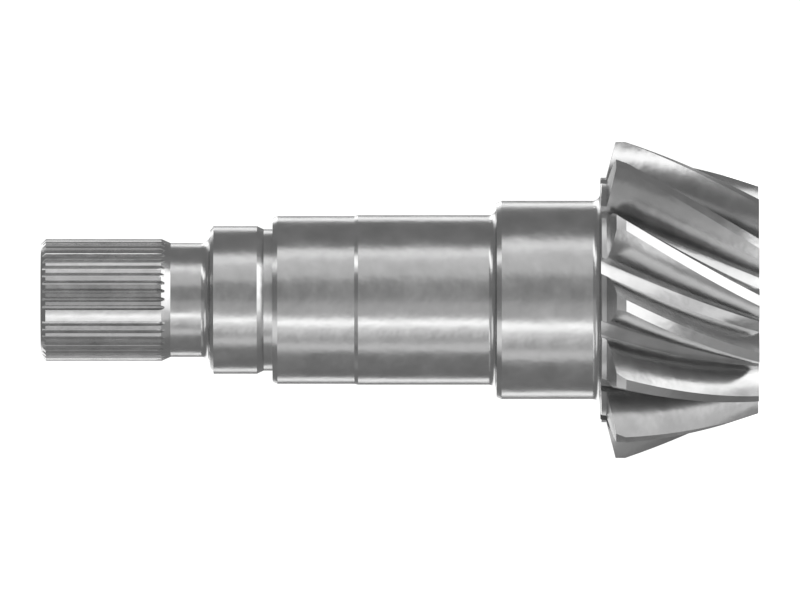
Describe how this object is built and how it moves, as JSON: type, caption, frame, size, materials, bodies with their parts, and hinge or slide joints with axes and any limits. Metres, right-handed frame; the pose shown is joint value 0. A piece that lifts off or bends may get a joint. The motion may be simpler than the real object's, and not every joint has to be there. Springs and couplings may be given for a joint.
{
  "type": "pinion shaft",
  "caption": "Spiral bevel pinion in one piece with its shaft: two bearing seats, a nut land, a neck and a fine splined end.",
  "frame": {"origin": "centre of the gear's small end face, on the shaft's axis", "axes": "+Z along the shaft's axis from the gear to the splined end; +X is any radius, the teeth are counted from it"},
  "size_m": [0.1036, 0.1036, 0.2351],
  "materials": {
    "steel": "satin machined and ground steel, unpainted"
  },
  "bodies": {
    "root": {"pinion_shaft": "steel"}
  },
  "joints": []
}
